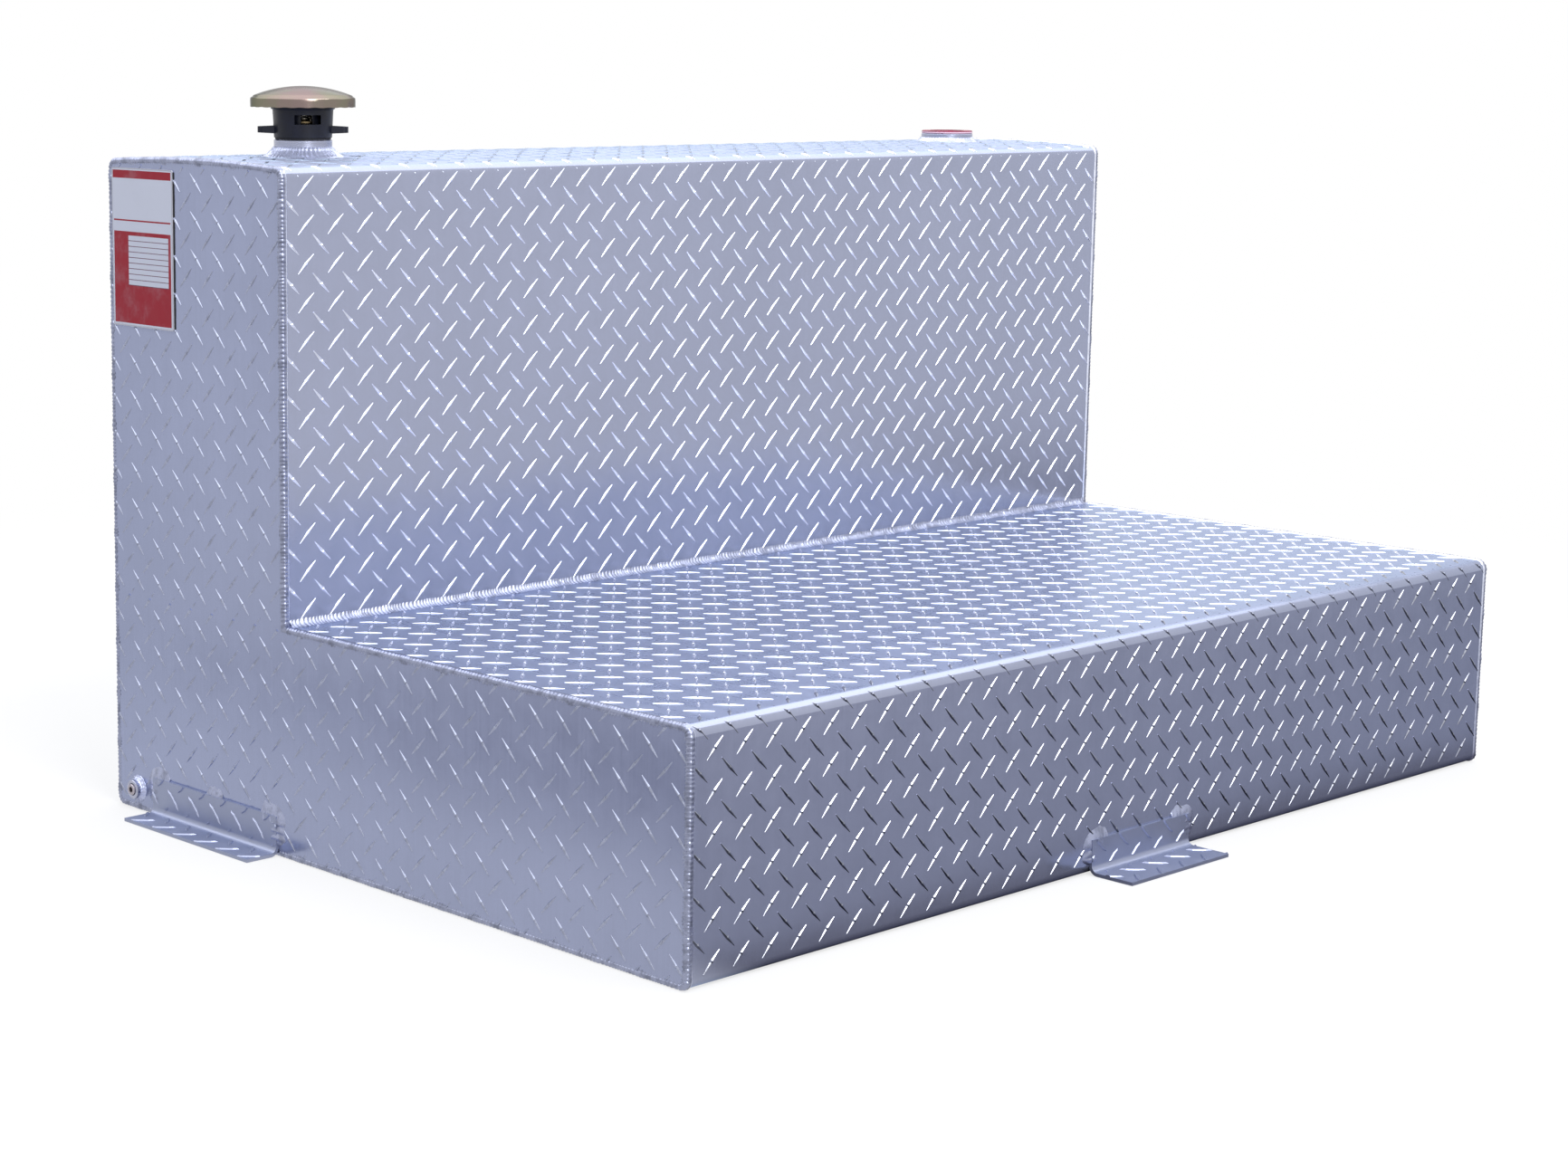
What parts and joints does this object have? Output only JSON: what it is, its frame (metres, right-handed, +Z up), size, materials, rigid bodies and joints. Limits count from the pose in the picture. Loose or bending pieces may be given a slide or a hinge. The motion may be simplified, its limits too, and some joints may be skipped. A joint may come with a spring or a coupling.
{
  "type": "truck bed transfer tank",
  "caption": "L-shaped welded tread plate fuel tank for a truck bed, with a vented screw cap, a plugged pump port, a side drain and foot brackets.",
  "frame": {"origin": "middle of the footprint, brackets and weld beads included, on the floor that the tank stands on", "axes": "+X along the width, from the filler end to the port end; +Y from the low deck to the tower; +Z up"},
  "size_m": [1.2952, 0.8702, 0.7248],
  "materials": {
    "tread_plate": "bright rolled tread plate",
    "weld_bead": "bright rippled weld",
    "turned_aluminium": "fine turned",
    "baffle_sheet": "mill finish",
    "black_plastic": "moulded, slight sheen",
    "zinc_dome": "yellow zinc plate, pressed",
    "red_plastic": "soft moulded",
    "black_rubber": "matt",
    "valve_brass": "turned",
    "spring_steel": "zinc plated wire",
    "drain_brass": "dull turned",
    "label_print": "printed fields of colour, gloss film"
  },
  "bodies": {
    "tank": {"wrap_sheet": "tread_plate", "end_plate_left": "tread_plate", "end_plate_right": "tread_plate", "corner_weld_left": "weld_bead", "corner_weld_right": "weld_bead", "seam_weld": "weld_bead", "baffle_left": "baffle_sheet", "baffle_right": "baffle_sheet", "filler_neck": "turned_aluminium", "filler_neck_weld": "weld_bead", "pump_bung": "turned_aluminium", "pump_bung_weld": "weld_bead", "drain_bung": "turned_aluminium", "drain_bung_weld": "weld_bead", "bracket_front": "tread_plate", "bracket_front_welds": "weld_bead", "bracket_left": "tread_plate", "bracket_left_welds": "weld_bead", "bracket_right": "tread_plate", "bracket_right_welds": "weld_bead", "label": "label_print"},
    "cap_seal": {"cap_gasket": "black_rubber"},
    "cap": {"cap_body": "black_plastic", "cap_carrier": "black_plastic", "cap_dome": "zinc_dome", "vent_spring": "spring_steel"},
    "vent_valve": {"vent_poppet": "valve_brass", "vent_seal": "black_rubber"},
    "port_plug": {"bung_plug": "red_plastic"},
    "drain_screw": {"drain_plug": "drain_brass"}
  },
  "joints": [
    {"name": "cap_lift", "type": "slide", "parent": "tank", "child": "cap_seal", "axis": [0, 0, 1], "range_m": [0, 0.0177]},
    {"name": "cap_turn", "type": "hinge", "parent": "cap_seal", "child": "cap", "pos_m": [-0.4758, 0.29385, 0.6748], "axis": [0, 0, 1], "range_deg": [0, 2880]},
    {"name": "vent_lift", "type": "slide", "parent": "cap", "child": "vent_valve", "axis": [0, 0, 1], "range_m": [0, 0.0025], "stiffness_N_per_m": 400, "springref_m": -0.002, "deforming": ["vent_spring"]},
    {"name": "port_plug_pull", "type": "slide", "parent": "tank", "child": "port_plug", "axis": [0, 0, 1], "range_m": [0, 0.06]},
    {"name": "drain_plug_out", "type": "slide", "parent": "tank", "child": "drain_screw", "axis": [-1, 0, 0], "range_m": [0, 0.016]}
  ],
  "couplings": [
    {"joint": "cap_lift", "follows": "cap_turn", "m_per_rad": 0.00035152}
  ]
}
